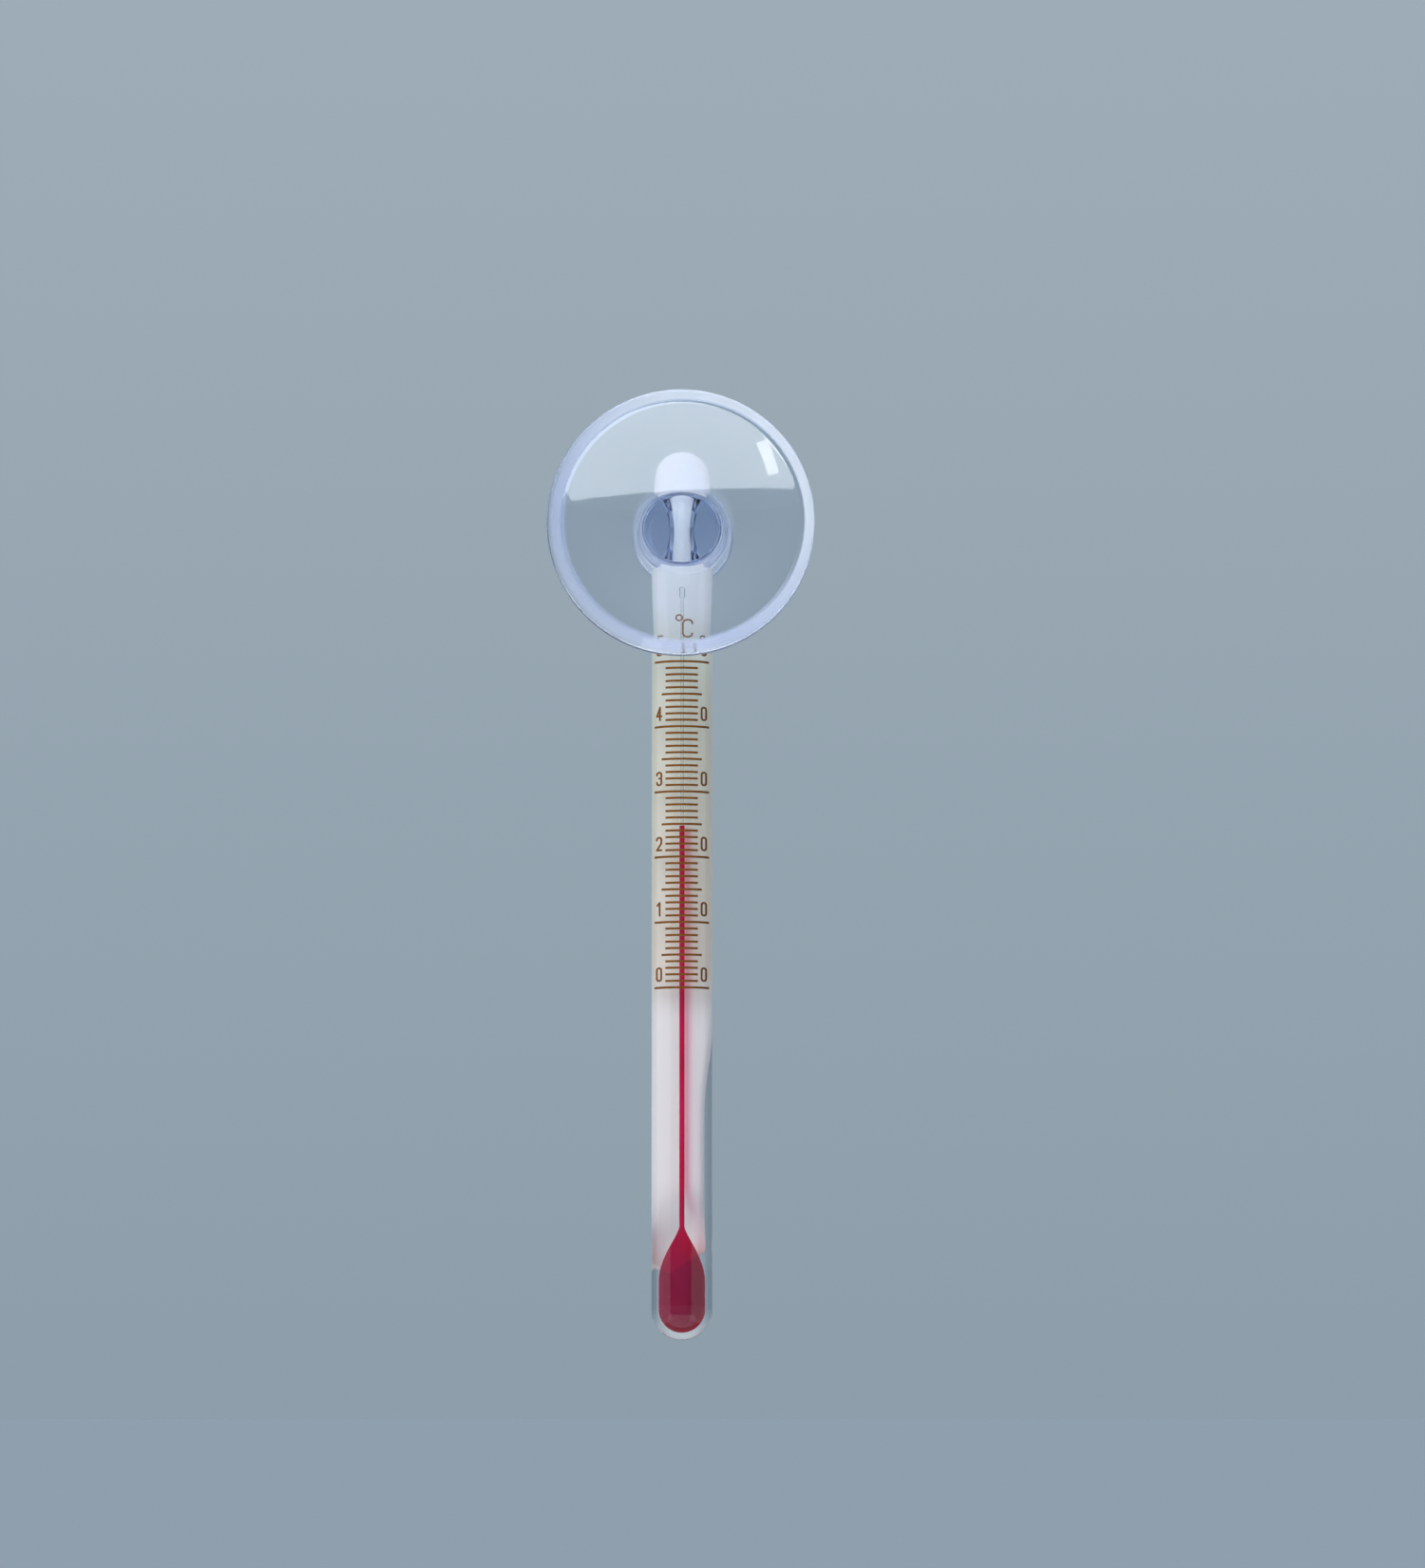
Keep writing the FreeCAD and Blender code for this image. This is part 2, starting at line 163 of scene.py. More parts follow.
def run_points(start, end, steps):
    """Points along a straight run, without its two ends."""
    points = []
    for i in range(1, steps):
        share = i / steps
        points.append(tuple(a + (b - a) * share for a, b in zip(start, end)))
    return points


def circle_through(a, b, c):
    """Centre and radius of the circle through three points."""
    d = 2 * (a[0] * (b[1] - c[1]) + b[0] * (c[1] - a[1]) + c[0] * (a[1] - b[1]))
    squares = [p[0] ** 2 + p[1] ** 2 for p in (a, b, c)]
    x = (squares[0] * (b[1] - c[1]) + squares[1] * (c[1] - a[1]) + squares[2] * (a[1] - b[1])) / d
    y = (squares[0] * (c[0] - b[0]) + squares[1] * (a[0] - c[0]) + squares[2] * (b[0] - a[0])) / d
    return (x, y), math.dist((x, y), a)


def arc_through(a, b, c, steps):
    """Points on the arc from a through b to c, both ends included."""
    centre, radius = circle_through(a, b, c)
    angles = [math.degrees(math.atan2(p[1] - centre[1], p[0] - centre[0])) for p in (a, b, c)]
    turn = (angles[2] - angles[0]) % 360
    if (angles[1] - angles[0]) % 360 > turn:
        turn -= 360
    return arc_points(centre, radius, angles[0], angles[0] + turn, steps)


def add_shell(bm, outline, place, segments, inside_out=False):
    """A closed skin: the outline, which starts and ends on the axis, turned about that axis."""
    rings = []
    for radius, along in outline:
        if radius < 1e-9:
            rings.append([bm.verts.new(place(0, along, 0))])
            continue
        ring = []
        for i in range(segments):
            ring.append(bm.verts.new(place(radius, along, 2 * math.pi * i / segments)))
        rings.append(ring)
    faces = []
    for lower, upper in zip(rings, rings[1:]):
        for i in range(segments):
            j = (i + 1) % segments
            corners = [lower[i % len(lower)], lower[j % len(lower)]]
            corners += [upper[j % len(upper)], upper[i % len(upper)]]
            distinct = list(dict.fromkeys(corners))
            faces.append(bm.faces.new(distinct))
    bmesh.ops.recalc_face_normals(bm, faces=faces)
    if inside_out:
        bmesh.ops.reverse_faces(bm, faces=faces)


def about_stem(radius, height, angle):
    return Vector((radius * math.cos(angle), STEM_Y + radius * math.sin(angle), height))


def finished_object(name, bm, sharp_deg=40):
    """Turns the bmesh into a smooth-shaded object whose edges over sharp_deg stay crisp."""
    mesh = bpy.data.meshes.new(name)
    bm.to_mesh(mesh)
    bm.free()
    mesh.polygons.foreach_set("use_smooth", [True] * len(mesh.polygons))
    mesh.set_sharp_from_angle(angle=math.radians(sharp_deg))
    obj = bpy.data.objects.new(name, mesh)
    bpy.context.scene.collection.objects.link(obj)
    return obj


# ---------------------------------------------------------------- glass body


def waist_points(clearance, steps):
    """The drawn neck's hollow, from its lower end to its upper end."""
    low_end = (NECK_END_R + clearance, -NECK_END_Z)
    high_end = (NECK_END_R + clearance, NECK_END_Z)
    return arc_through(low_end, (NECK_MIDDLE_R + clearance, 0), high_end, steps)


def shoulder_points(full_r):
    """From the full radius up and in to the neck's lower end."""
    shoulder_z = -(NECK_END_Z + NECK_FILLET_R)
    convex_centre = (full_r - SHOULDER_R, shoulder_z - SHOULDER_R)
    concave_centre = (NECK_END_R + NECK_FILLET_R, -NECK_END_Z)
    convex = arc_points(convex_centre, SHOULDER_R, 0, 90, 14)
    concave = arc_points(concave_centre, NECK_FILLET_R, -90, -180, 6)
    return convex + concave


def glass_outline():
    bulb_centre_z = BULB_BOTTOM_Z + STEM_R
    knob_centre_z = KNOB_TOP_Z - KNOB_R
    knob_shoulder = [(radius, -height) for radius, height in reversed(shoulder_points(KNOB_R))]
    outline = arc_points((0, bulb_centre_z), STEM_R, -90, 0, 24)
    outline += run_points((STEM_R, bulb_centre_z), (STEM_R, -FULL_STEM_Z), 90)
    outline += shoulder_points(STEM_R)
    outline += waist_points(0, 24)[1:-1]
    outline += knob_shoulder
    outline += arc_points((0, knob_centre_z), KNOB_R, 0, 90, 24)
    outline[0] = (0, BULB_BOTTOM_Z)
    outline[-1] = (0, KNOB_TOP_Z)
    return outline


def drawn_glass(radius, height, angle):
    """A point of the rod's skin, which drawing left very slightly uneven, never proud."""
    around = Vector((math.cos(angle), math.sin(angle), height / GLASS_WAVE_LENGTH))
    uneven = 0.5 + 0.5 * noise.noise(around)
    return about_stem(radius * (1 - GLASS_UNEVENNESS * uneven), height, angle)


def make_glass_body():
    bm = bmesh.new()
    add_shell(bm, glass_outline(), drawn_glass, 128)
    body = finished_object("glass_body", bm)
    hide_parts("stem_glass", "bulb_glass")
    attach(body, "thermometer")
    return body


def empty_bore_outline():
    """The air above the spirit: the bare bore and the chamber at its top."""
    low_z = LEVEL_Z - MENISCUS + EMPTY_BORE_R
    chamber_ball_r = 0.9 * CHAMBER_R
    core_r = CHAMBER_R - chamber_ball_r
    outline = arc_points((0, low_z), EMPTY_BORE_R, -90, 0, 6)
    outline[0] = (0, low_z - EMPTY_BORE_R)
    outline += run_points((EMPTY_BORE_R, low_z), (EMPTY_BORE_R, CHAMBER_LOW_Z), 90)
    outline += arc_points((core_r, CHAMBER_LOW_Z + chamber_ball_r), chamber_ball_r, -60, 0, 8)
    outline += arc_points((core_r, CHAMBER_TOP_Z - chamber_ball_r), chamber_ball_r, 0, 90, 10)
    outline += [(0, CHAMBER_TOP_Z)]
    return outline


def make_empty_bore():
    """Its foot rides on the spirit, and its top stays in the glass."""
    bm = bmesh.new()
    add_shell(bm, empty_bore_outline(), about_stem, 40, inside_out=True)
    bore = finished_object("empty_bore", bm)
    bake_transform(bore)
    return bore


# ---------------------------------------------------------------- opal ribbon


def smooth_step(low, high, value):
    share = min(1, max(0, (value - low) / (high - low)))
    return share * share * (3 - 2 * share)


def rod_radius(height):
    """The rod's own radius at that height, round the neck and in the knob."""
    from_neck = abs(height)
    full = STEM_R if height < 0 else KNOB_R
    if from_neck < NECK_END_Z:
        return NECK_MIDDLE_R + (NECK_END_R - NECK_MIDDLE_R) * (from_neck / NECK_END_Z) ** 2
    return NECK_END_R + (full - NECK_END_R) * smooth_step(NECK_END_Z, FULL_STEM_Z, from_neck)


def ribbon_section(height, count):
    """(front, back) point pairs across the ribbon, from its left edge to its right edge."""
    draw = rod_radius(height) / STEM_R
    below_top = (RIBBON_TOP_Z - height) / KNOB_R
    top_taper = math.sqrt(1 - (1 - below_top) ** 2) if below_top < 1 else 1
    low_taper = math.sqrt(smooth_step(RIBBON_END_Z, RIBBON_END_Z + RIBBON_END_ROUNDING, height))
    neck_share = 1 + RIBBON_NECK_SWELL * smooth_step(1, 0.65, draw)
    half_width = RIBBON_HALF_WIDTH * draw * neck_share * top_taper * low_taper
    narrowing = 1 - smooth_step(*RIBBON_NARROWING_Z, height)
    right_share = 1 - (1 - RIBBON_LOW_RIGHT_SHARE) * narrowing
    half_angle = RIBBON_END_HALF_ANGLE * low_taper
    wrap = 1 - smooth_step(*RIBBON_WRAP_Z, height)
    half_thickness = RIBBON_THICKNESS * draw / 2
    pairs = []
    for i in range(count + 1):
        across = 2 * i / count - 1
        lens = half_thickness * math.sqrt(max(0, 1 - across**8))
        flat_x = half_width * across * (right_share if across > 0 else 1)
        flat_y = RIBBON_DEPTH * draw + half_thickness + RIBBON_BOW * abs(flat_x * across)
        angle = RIBBON_END_TURN + half_angle * across
        pair = []
        for side in (-lens, lens):
            reach = RIBBON_END_R + half_thickness + side
            x = flat_x * (1 - wrap) + reach * math.sin(angle) * wrap
            y = (flat_y + side) * (1 - wrap) + reach * math.cos(angle) * wrap
            pair.append(Vector((x, STEM_Y + y, height)))
        pairs.append(pair)
    return pairs


def make_opal_ribbon():
    # Both end rows stop just short of the tip, so that they keep a little width.
    top_z = RIBBON_TOP_Z - 0.01 * MM
    bottom_z = RIBBON_END_Z + 0.05 * MM
    rows = 420
    count = 20
    bm = bmesh.new()
    loops = []
    for row in range(rows + 1):
        height = bottom_z + (top_z - bottom_z) * row / rows
        pairs = ribbon_section(height, count)
        front = [bm.verts.new(pair[0]) for pair in pairs]
        back = [bm.verts.new(pair[1]) for pair in reversed(pairs)]
        loops.append(front + back)
    for lower, upper in zip(loops, loops[1:]):
        for i in range(len(lower)):
            j = (i + 1) % len(lower)
            bm.faces.new([lower[i], lower[j], upper[j], upper[i]])
    bm.faces.new(list(reversed(loops[0])))
    bm.faces.new(loops[-1])
    bmesh.ops.remove_doubles(bm, verts=bm.verts, dist=1e-7)
    bmesh.ops.recalc_face_normals(bm, faces=bm.faces)
    ribbon = finished_object("opal_ribbon", bm, sharp_deg=60)
    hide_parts("opal_backing")
    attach(ribbon, "thermometer")
    return ribbon


# ---------------------------------------------------------------- spirit column


def flare_radius(height):
    """The teardrop's radius between the throat, where it opens gently, and where it is full."""
    fall = (THROAT_Z - height) / (THROAT_Z - RESERVOIR_FULL_Z)
    swell = 1 - (1 - min(1, fall**1.3)) ** 2
    return THREAD_R + (RESERVOIR_R - THREAD_R) * swell


def spirit_outline():
    round_z = RESERVOIR_BOTTOM_Z + RESERVOIR_R
    outline = arc_points((0, round_z), RESERVOIR_R, -90, 0, 20)
    outline[0] = (0, RESERVOIR_BOTTOM_Z)
    outline += run_points((RESERVOIR_R, round_z), (RESERVOIR_R, RESERVOIR_FULL_Z), 8)
    flare_steps = 30
    for i in range(flare_steps):
        height = RESERVOIR_FULL_Z + (THROAT_Z - RESERVOIR_FULL_Z) * i / flare_steps
        outline.append((flare_radius(height), height))
    outline += [(THREAD_R, THROAT_Z)]
    outline += run_points((THREAD_R, THROAT_Z), (THREAD_R, LEVEL_Z), 120)
    outline += [(THREAD_R, LEVEL_Z)]
    ball_r = (THREAD_R**2 + MENISCUS**2) / (2 * MENISCUS)
    half_angle = math.degrees(math.asin(THREAD_R / ball_r))
    hollow_centre = (0, LEVEL_Z - MENISCUS + ball_r)
    outline += arc_points(hollow_centre, ball_r, -90 + half_angle, -90, 8)[1:]
    outline[-1] = (0, LEVEL_Z - MENISCUS)
    return outline


def make_spirit():
    bm = bmesh.new()
    add_shell(bm, spirit_outline(), about_stem, 48)
    spirit = finished_object("spirit_column", bm)
    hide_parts("spirit_reservoir", "spirit_thread", "spirit_thread_top")
    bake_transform(spirit)
    return spirit


# ---------------------------------------------------------------- suction cup


def about_cup(radius, depth, angle):
    """A point of the cup. The boss's neck is a little less high than wide."""
    into_neck = smooth_step(DISH_BACK_TOP[1], BOSS_FOOT_Y + 0.6 * MM, depth)
    out_of_neck = smooth_step(HEAD_UNDER_Y - 0.5 * MM, HEAD_UNDER_Y, depth)
    is_outside = smooth_step(DISH_APEX_Y, DISH_APEX_Y + 0.2 * MM, depth)
    flattening = 1 - BOSS_HALF_HEIGHT / BOSS_HALF_WIDTH
    oval = 1 - flattening * into_neck * (1 - out_of_neck) * is_outside
    return Vector((radius * math.cos(angle), depth, oval * radius * math.sin(angle)))


def cup_outline():
    """From the dish's inner apex, round the lip, up the back and over the head to its back pole."""
    apex = (0, DISH_APEX_Y)
    dish_middle_r = LIP_INNER_R / 2
    ball_r = (LIP_INNER_R**2 + DISH_APEX_Y**2) / (2 * DISH_APEX_Y)
    dish_middle = (dish_middle_r, DISH_APEX_Y - ball_r + math.sqrt(ball_r**2 - dish_middle_r**2))
    outline = arc_through(apex, dish_middle, (LIP_INNER_R - 0.12 * MM, 0.05 * MM), 60)
    outline[0] = apex
    # The dish eases into the flat lip.
    outline += [(LIP_INNER_R - 0.05 * MM, 0.012 * MM), (LIP_INNER_R + 0.05 * MM, 0)]
    outline += run_points((LIP_INNER_R + 0.05 * MM, 0), (LIP_FLAT_R, 0), 5)
    edge_r = CUP_R - LIP_FLAT_R
    outline += arc_points((LIP_FLAT_R, edge_r), edge_r, -90, 0, 8)
    outline += arc_points((CUP_R - LIP_BACK_R, LIP_EDGE_Y - 0.05 * MM), LIP_BACK_R, 0, 55, 5)
    back_start = outline[-1]
    outline += arc_through(back_start, DISH_BACK_MIDDLE, DISH_BACK_TOP, 44)[1:]
    foot_fillet = (BOSS_HALF_WIDTH + FOOT_FILLET_R, BOSS_FOOT_Y + 0.45 * MM)
    outline += arc_points(foot_fillet, FOOT_FILLET_R, -110, -180, 12)
    head_fillet = (BOSS_HALF_WIDTH + HEAD_FILLET_R, HEAD_UNDER_Y - HEAD_FILLET_R)
    neck_start = outline[-1]
    neck_end = (BOSS_HALF_WIDTH, head_fillet[1])
    outline += run_points(neck_start, neck_end, 40)
    outline += arc_points(head_fillet, HEAD_FILLET_R, 180, 90, 8)
    rim_low = (BOSS_HEAD_R - HEAD_EDGE_R, HEAD_UNDER_Y + HEAD_EDGE_R)
    outline += arc_points(rim_low, HEAD_EDGE_R, -90, 0, 8)
    rim_high = (BOSS_HEAD_R - HEAD_EDGE_R, HEAD_RIM_Y)
    outline += arc_points(rim_high, HEAD_EDGE_R, 0, 60, 6)
    dome_start = outline[-1]
    outline += head_dome(dome_start)
    return outline


def head_dome(start):
    """The head's back: a shallow dome with the small sunk gate mark of the moulding."""
    rise = BOSS_BACK_Y - start[1]
    ball_r = (start[0] ** 2 + rise**2) / (2 * rise)
    gate_r = 0.95 * MM
    gate_depth = 0.22 * MM
    nub_r = 0.42 * MM
    points = []
    steps = 40
    for i in range(1, steps + 1):
        radius = start[0] * (1 - i / steps)
        depth = BOSS_BACK_Y - ball_r + math.sqrt(ball_r**2 - radius**2)
        sunk = 1 - smooth_step(gate_r - 0.22 * MM, gate_r + 0.1 * MM, radius)
        nub = 1 - smooth_step(nub_r - 0.14 * MM, nub_r + 0.12 * MM, radius)
        points.append((radius, depth - gate_depth * sunk + 0.7 * gate_depth * nub))
    points[-1] = (0, points[-1][1])
    return points


def make_cross_hole():
    """The tool that cuts the stem's hole, which follows the glass neck."""
    overrun_z = NECK_END_Z + 1.5 * MM
    end_r = NECK_END_R + HOLE_CLEARANCE
    outline = [(0, -overrun_z), (end_r, -overrun_z)]
    outline += waist_points(HOLE_CLEARANCE, 32)
    outline += [(end_r, overrun_z), (0, overrun_z)]
    bm = bmesh.new()
    add_shell(bm, outline, about_stem, 96)
    return finished_object("hole_tool", bm)


def make_suction_cup():
    bm = bmesh.new()
    add_shell(bm, cup_outline(), about_cup, 224)
    solid = finished_object("cup_blank", bm)
    tool = make_cross_hole()
    cut = solid.modifiers.new("cross_hole", "BOOLEAN")
    cut.operation = "DIFFERENCE"
    cut.solver = "EXACT"
    cut.object = tool
    depsgraph = bpy.context.evaluated_depsgraph_get()
    mesh = bpy.data.meshes.new_from_object(solid.evaluated_get(depsgraph))
    mesh.name = "suction_cup"
    mesh.materials.clear()
    mesh.polygons.foreach_set("use_smooth", [True] * len(mesh.polygons))
    mesh.set_sharp_from_angle(angle=math.radians(38))
    cup = bpy.data.objects.new("suction_cup", mesh)
    bpy.context.scene.collection.objects.link(cup)
    bpy.data.objects.remove(solid)
    bpy.data.objects.remove(tool)
    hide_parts("cup_lip", "cup_dish", "cup_boss")
    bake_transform(cup)
    return cup


# ---------------------------------------------------------------- materials


class Shader:
    """The node tree of a material or the world, with short ways to add and join nodes."""

    def __init__(self, owner, output="OutputMaterial"):
        owner.use_nodes = True
        self.owner = owner
        self.tree = owner.node_tree
        self.tree.nodes.clear()
        self.output = self.tree.nodes.new("ShaderNode" + output)

    def add(self, kind, settings=None, **inputs):
        """A node of that kind. An input is a number, a colour or another node's output."""
        node = self.tree.nodes.new("ShaderNode" + kind)
        for key, value in (settings or {}).items():
            setattr(node, key, value)
        for key, value in inputs.items():
            socket = node.inputs[key.replace("_", " ")]
            if isinstance(value, bpy.types.NodeSocket):
                self.tree.links.new(value, socket)
            else:
                socket.default_value = value
        return node

    def link(self, start, end):
        self.tree.links.new(start, end)

    def ramp(self, factor, stops):
        """A colour ramp through (place, colour) stops."""
        node = self.add("ValToRGB", Fac=factor)
        elements = node.color_ramp.elements
        while len(elements) < len(stops):
            elements.new(0.5)
        for element, (place, colour) in zip(elements, stops):
            element.position = place
            element.color = colour
        return node.outputs["Color"]

    def noise(self, scale, stretch=(1, 1, 1), detail=2.0):
        """Noise in the object's own coordinates. The scale is in cells per metre."""
        place = self.add("TexCoord").outputs["Object"]
        stretched = self.add("Mapping", Vector=place, Scale=stretch)
        made = self.add("TexNoise", Vector=stretched.outputs["Vector"], Scale=scale, Detail=detail)
        return made.outputs["Fac"]

    def bump(self, height, strength, distance):
        node = self.add("Bump", Height=height, Strength=strength, Distance=distance)
        return node.outputs["Normal"]

    def between(self, value, start, end, low=0.0, high=1.0):
        """The value's place between start and end, as a number from low to high."""
        node = self.add(
            "MapRange", Value=value, From_Min=start, From_Max=end, To_Min=low, To_Max=high
        )
        return node.outputs["Result"]

    def combined(self, operation, first, second):
        node = self.add("Math", {"operation": operation})
        self.link(first, node.inputs[0])
        self.link(second, node.inputs[1])
        return node.outputs["Value"]

    def product(self, first, second):
        return self.combined("MULTIPLY", first, second)

    def tinted(self, colour, tint):
        """One colour times another."""
        node = self.add("MixRGB", {"blend_type": "MULTIPLY"}, Fac=1.0, Color1=colour, Color2=tint)
        return node.outputs["Color"]

    def lets_light_through(self, surface, tint):
        """Lamp light passes straight through, so that what is inside the glass is lit."""
        path = self.add("LightPath")
        clear = self.add("BsdfTransparent", Color=tint)
        mixed = self.add("MixShader")
        self.link(path.outputs["Is Shadow Ray"], mixed.inputs[0])
        self.link(surface, mixed.inputs[1])
        self.link(clear.outputs[0], mixed.inputs[2])
        self.link(mixed.outputs[0], self.output.inputs["Surface"])


def material_shader(name):
    return Shader(bpy.data.materials.new(name))


def glass_material():
    s = material_shader("clear_glass")
    streaks = s.noise(900, stretch=(1, 1, 0.04))
    surface = s.add(
        "BsdfPrincipled",
        Base_Color=(0.975, 0.99, 0.985, 1),
        Roughness=0.0,
        IOR=1.50,
        Transmission_Weight=1.0,
        Normal=s.bump(streaks, 0.05, 0.02 * MM),
    )
    s.lets_light_through(surface.outputs[0], (0.96, 0.97, 0.97, 1))
    return s.owner


def painted_lip_light(s, place, radius):
    """(strength, tint) of the painted ring of light at the lip.

    It is a little off the cup's axis, painted light that is strongest and whitest at its upper right,
    like a highlight, and weakest and bluest at its lower left.
    """
    outwards = s.between(radius, 11.6 * MM, 13.1 * MM)
    ring = s.ramp(
        outwards,
        [
            (0.12, (0, 0, 0, 1)),
            (0.24, (1, 1, 1, 1)),
            (0.78, (0.85, 0.85, 0.85, 1)),
            (0.98, (0.15, 0.15, 0.15, 1)),
        ],
    )
    # Painted light: the ring is made stronger and whiter towards the upper right and weaker and bluer
    # towards the lower left.
    turned = s.add("Mapping", Vector=place, Rotation=(0, math.radians(-37), 0))
    height = s.add("SeparateXYZ", Vector=turned.outputs["Vector"]).outputs["Z"]
    up = s.between(height, -CUP_R, CUP_R)
    tint = s.ramp(up, [(0.25, (0.42, 0.55, 1.0, 1)), (0.80, (0.93, 0.96, 1.0, 1))])
    return s.product(ring, s.between(up, 0.0, 1.0, 0.255, 0.55)), tint


def painted_boss_edge_light(s, place, radius):
    """(strength, mask) of the painted glow at the edges round the boss, painted light that is stronger
    towards the bottom.
    """
    split = s.add("SeparateXYZ", Vector=place).outputs
    edge = s.ramp(
        s.between(radius, 3.8 * MM, 5.6 * MM),
        [
            (0.00, (0, 0, 0, 1)),
            (0.12, (1, 1, 1, 1)),
            (0.60, (1, 1, 1, 1)),
            (0.75, (0, 0, 0, 1)),
        ],
    )
    painted_boss_mask = s.product(edge, s.between(split["Y"], 4.3 * MM, 4.8 * MM))
    # Painted light: the glow at the boss's edges grows towards the bottom.
    return s.product(painted_boss_mask, s.between(split["Z"], 4 * MM, -4 * MM, 0.07, 0.22)), painted_boss_mask


def pvc_material():
    """Clear soft PVC. Light that has travelled along the wall leaves at its edges; that glow is painted
    light, a pale colour put on the lip and the boss edges in place of clearness.
    """
    s = material_shader("clear_soft_pvc")
    place = s.add("TexCoord").outputs["Object"]
    off_axis = (-0.22 * MM, 0, -0.22 * MM)
    flat = s.add("Mapping", Vector=place, Scale=(1, 0, 1), Location=off_axis).outputs["Vector"]
    radius = s.add("VectorMath", {"operation": "LENGTH"}, Vector=flat).outputs["Value"]
    lip, lip_tint = painted_lip_light(s, place, radius)
    boss, painted_boss_mask = painted_boss_edge_light(s, place, radius)
    # Painted light: where the two painted glows are strong, the wall takes their pale colour and lets
    # less light through.
    painted_light = s.combined("ADD", lip, boss)
    painted_light_tint = s.add("MixRGB", Fac=painted_boss_mask, Color1=lip_tint, Color2=(1.0, 0.98, 0.84, 1))
    tint = s.add(
        "MixRGB", Fac=painted_light, Color1=(0.90, 0.925, 0.955, 1), Color2=painted_light_tint.outputs["Color"]
    )
    haze = s.noise(260, detail=4.0)
    ripple = s.noise(420, detail=1.0)
    surface = s.add(
        "BsdfPrincipled",
        Base_Color=tint.outputs["Color"],
        Roughness=s.between(haze, 0.0, 1.0, 0.03, 0.09),
        IOR=1.52,
        Transmission_Weight=s.between(painted_light, 0.0, 1.0, 1.0, 0.0),
        Normal=s.bump(ripple, 0.10, 0.03 * MM),
    )
    s.lets_light_through(surface.outputs[0], (0.95, 0.96, 0.98, 1))
    absorption = s.add("VolumeAbsorption", Color=(0.66, 0.75, 0.96, 1), Density=160.0)
    s.link(absorption.outputs[0], s.output.inputs["Volume"])
    return s.owner


def opal_material():
    """Opal enamel: faintly pink below the scale, cream behind it and a cool grey in the knob, with
    painted shade making the top of the scale darker and painted light making it lighter and warmer
    under the cup.
    """
    s = material_shader("opal_enamel")
    place = s.add("TexCoord").outputs["Object"]
    height = s.add("SeparateXYZ", Vector=place).outputs["Z"]
    tone_and_painted_light = s.ramp(
        s.between(height, stem_low.z, KNOB_TOP_Z),
        [
            (0.00, (0.94, 0.90, 0.91, 1)),
            (0.26, (0.93, 0.90, 0.91, 1)),
            (0.32, (0.83, 0.77, 0.68, 1)),
            # Painted shade: the enamel darkens towards the top of the scale, below the cup. Painted
            # light: behind the cup it is lighter and warmer, making up for the light the cup takes
            # away.
            (0.72, (0.75, 0.765, 0.64, 1)),
            (0.80, (0.90, 0.89, 0.87, 1)),
            (0.87, (0.96, 0.94, 0.82, 1)),
            (0.92, (0.94, 0.92, 0.80, 1)),
            (0.95, (0.66, 0.65, 0.67, 1)),
        ],
    )
    streaks = s.noise(1400, stretch=(1, 1, 0.02), detail=3.0)
    shade = s.ramp(streaks, [(0.3, (0.93, 0.93, 0.93, 1)), (0.7, (1, 1, 1, 1))])
    surface = s.add(
        "BsdfPrincipled",
        Base_Color=s.tinted(tone_and_painted_light, shade),
        Roughness=0.45,
        Specular_IOR_Level=0.1,
    )
    s.link(surface.outputs[0], s.output.inputs["Surface"])
    return s.owner


def print_material():
    s = material_shader("fired_brown_enamel")
    grain = s.noise(9000, detail=3.0)
    colour = s.ramp(
        grain, [(0.35, (0.16, 0.050, 0.006, 1)), (0.65, (0.27, 0.100, 0.014, 1))]
    )
    surface = s.add(
        "BsdfPrincipled",
        Base_Color=colour,
        Roughness=0.38,
        Specular_IOR_Level=0.2,
        Normal=s.bump(grain, 0.2, 0.01 * MM),
    )
    s.link(surface.outputs[0], s.output.inputs["Surface"])
    return s.owner


def spirit_material():
    """Dyed spirit against glass, so that its refraction is that of spirit relative to glass."""
    s = material_shader("dyed_spirit")
    cloud = s.noise(500, stretch=(1, 1, 0.4))
    colour = s.ramp(
        cloud, [(0.35, (0.62, 0.02, 0.14, 1)), (0.65, (0.75, 0.03, 0.20, 1))]
    )
    surface = s.add(
        "BsdfPrincipled",
        Base_Color=colour,
        Roughness=0.04,
        IOR=0.98,
        Transmission_Weight=0.78,
    )
    s.lets_light_through(surface.outputs[0], (0.97, 0.86, 0.88, 1))
    absorption = s.add("VolumeAbsorption", Color=(0.965, 0.0, 0.50, 1), Density=8000.0)
    s.link(absorption.outputs[0], s.output.inputs["Volume"])
    return s.owner


def paint(obj, material):
    obj.data.materials.clear()
    obj.data.materials.append(material)


# ---------------------------------------------------------------- studio


def area_light(name, offset, size, radiance, colour=(1, 1, 1), roll_deg=0):
    """A soft rectangle of light at that offset from the cup, which it faces."""
    width, height = size
    data = bpy.data.lights.new(name, "AREA")
    data.shape = "RECTANGLE"
    data.size = width
    data.size_y = height
    data.energy = radiance * math.pi * width * height
    data.color = colour
    light = bpy.data.objects.new(name, data)
    light.location = offset
    facing = (-Vector(offset)).to_track_quat("-Z", "Y")
    roll = Quaternion((0, 0, 1), math.radians(roll_deg))
    light.rotation_euler = (facing @ roll).to_euler()
    light.visible_camera = False
    bpy.context.scene.collection.objects.link(light)
    return light


def show_only_in(light, obj):
    """Makes the light a reflection in that one piece."""
    light.visible_diffuse = False
    light.visible_transmission = False
    receivers = bpy.data.collections.new(light.name + "_receivers")
    receivers.objects.link(obj)
    light.light_linking.receiver_collection = receivers


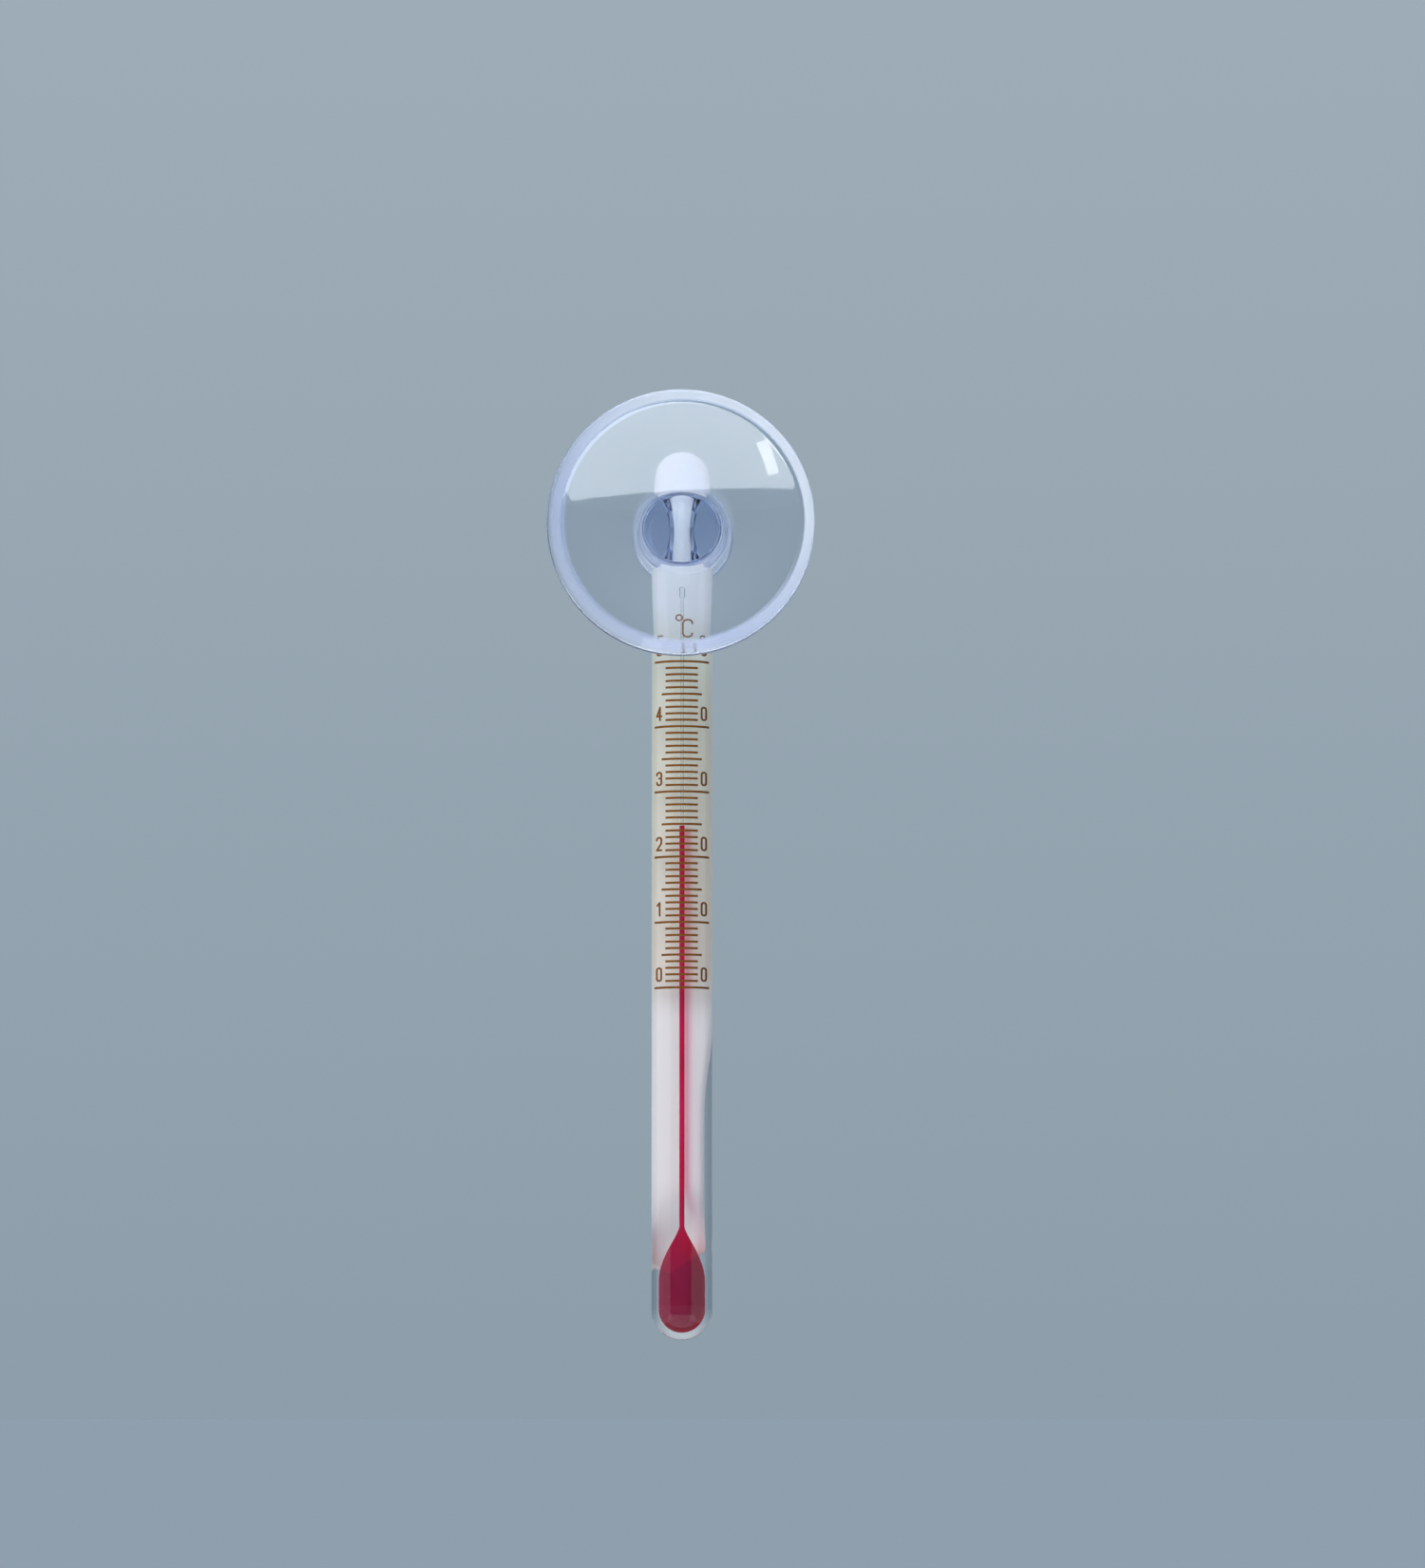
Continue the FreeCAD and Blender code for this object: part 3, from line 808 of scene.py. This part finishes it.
def make_lights(glass_body, cup):
    """Two soft boxes light the part, and bright cards on all sides are reflected in it."""
    warm = (1.0, 0.985, 0.97)
    cool = (0.93, 0.96, 1.0)
    sky = (0.90, 0.96, 1.0)
    pink = (1, 0.78, 1)
    mauve = (0.88, 0.90, 1)
    key = area_light("key", (-0.55, -0.75, 0.40), (0.7, 0.7), 5.3, warm)
    fill = area_light("fill", (0.75, -0.55, 0.10), (0.6, 0.9), 0.40, cool)
    for light in (key, fill):
        light.visible_glossy = False
        light.visible_transmission = False
    table = area_light("table", (0, -0.556, -0.468), (3.6, 0.75), 6.3, sky, roll_deg=3.5)
    window = area_light("window", (-0.379, -0.247, -0.213), (0.065, 0.15), 7.5)
    edge = area_light("edge", (-0.45, 0.35, 0.05), (0.10, 0.60), 3.0)
    for light in (table, window, edge):
        show_only_in(light, cup)
    left_card = area_light("left_card", (-0.487, -0.112, -0.04), (0.65, 0.9), 0.75, pink)
    right_card = area_light("right_card", (0.465, -0.183, -0.04), (0.61, 0.9), 0.62, mauve)
    low_card = area_light("low_card", (0, -0.35, -0.45), (1.2, 0.5), 0.75, pink)
    for light in (left_card, right_card, low_card):
        show_only_in(light, glass_body)


def make_floor():
    bm = bmesh.new()
    bmesh.ops.create_circle(bm, cap_ends=True, segments=96, radius=60)
    mesh = bpy.data.meshes.new("floor")
    bm.to_mesh(mesh)
    bm.free()
    floor = bpy.data.objects.new("floor", mesh)
    floor.location.z = cad_low.z - 0.75
    bpy.context.scene.collection.objects.link(floor)
    s = material_shader("pale_floor")
    surface = s.add("BsdfPrincipled", Base_Color=(0.62, 0.70, 0.76, 1), Roughness=0.9)
    s.link(surface.outputs[0], s.output.inputs["Surface"])
    paint(floor, s.owner)


def make_world():
    """A pale grey-blue studio. It is darker out to both sides, so that glass shows its edges, and
    behind the camera, so that the bright cards stand out in the glass."""
    world = bpy.data.worlds.new("studio")
    bpy.context.scene.world = world
    s = Shader(world, "OutputWorld")
    direction = s.add("TexCoord").outputs["Generated"]
    split = s.add("SeparateXYZ", Vector=direction).outputs
    rise = s.ramp(split["Z"], [(0.0, (0.27, 0.345, 0.405, 1)), (1.0, (0.60, 0.66, 0.72, 1))])
    aside = s.add("Math", {"operation": "ABSOLUTE"}, Value=split["X"]).outputs["Value"]
    sides = s.ramp(aside, [(0.35, (1, 1, 1, 1)), (0.95, (0.55, 0.57, 0.62, 1))])
    front = s.between(split["Y"], 0.0, -1.0)
    behind_camera = s.ramp(front, [(0.55, (1, 1, 1, 1)), (0.92, (0.52, 0.52, 0.55, 1))])
    background = s.add("Background", Color=s.tinted(s.tinted(rise, sides), behind_camera))
    s.link(background.outputs[0], s.output.inputs["Surface"])


def make_camera():
    """Low and almost square on, as the thermometer is looked at in its pack."""
    distance = 0.60
    azimuth = math.radians(0.6)
    elevation = math.radians(-5.2)
    target = Vector((3.03, 5.0, -25.19)) * MM
    view_height = 153.45 * MM
    back = Vector(
        (
            math.sin(azimuth) * math.cos(elevation),
            -math.cos(azimuth) * math.cos(elevation),
            math.sin(elevation),
        )
    )
    data = bpy.data.cameras.new("camera")
    data.sensor_width = 36
    data.lens = data.sensor_width * distance / view_height
    data.clip_start = 0.01
    camera = bpy.data.objects.new("camera", data)
    camera.location = target + back * distance
    camera.rotation_euler = (-back).to_track_quat("-Z", "Y").to_euler()
    bpy.context.scene.collection.objects.link(camera)
    bpy.context.scene.camera = camera


# ---------------------------------------------------------------- put together

glass = glass_material()
glass_body = make_glass_body()
paint(glass_body, glass)
paint(make_empty_bore(), glass)
paint(make_opal_ribbon(), opal_material())
paint(make_spirit(), spirit_material())
cup = make_suction_cup()
paint(cup, pvc_material())
enamel = print_material()
for name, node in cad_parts.items():
    if name.startswith(("marks_", "numeral_", "unit_")):
        paint(node, enamel)

make_lights(glass_body, cup)
make_floor()
make_world()
make_camera()
bpy.context.scene.view_settings.view_transform = "Standard"
